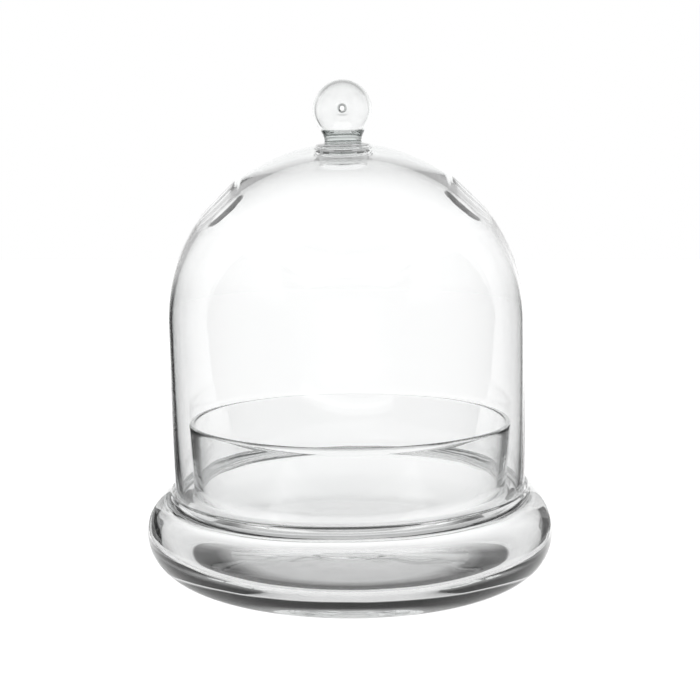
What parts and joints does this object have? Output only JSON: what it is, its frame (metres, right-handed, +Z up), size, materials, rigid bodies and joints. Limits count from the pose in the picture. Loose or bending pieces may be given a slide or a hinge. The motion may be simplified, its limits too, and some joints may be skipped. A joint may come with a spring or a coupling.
{
  "type": "glass bell jar dome",
  "caption": "Clear blown glass bell dome with a hollow ball knob and shoulder vents, standing in the groove of a heavy round base with an upstanding neck.",
  "frame": {"origin": "centre of the foot, on the surface the object stands on", "axes": "+Z up; -Y is the front, where the knob's small hole faces; the shoulder vents face -X and +X"},
  "size_m": [0.2208, 0.2208, 0.2623],
  "materials": {
    "base_glass": "clear, fire-polished, thick",
    "dome_glass": "clear, fire-polished, thin",
    "knob_glass": "clear, fire-polished"
  },
  "bodies": {
    "base": {"base_vessel": "base_glass"},
    "dome": {"dome_shell": "dome_glass", "knob_ring": "knob_glass", "knob": "knob_glass"}
  },
  "joints": [
    {"name": "dome_lift", "type": "slide", "parent": "base", "child": "dome", "axis": [0, 0, 1], "range_m": [0, 0.12]}
  ]
}
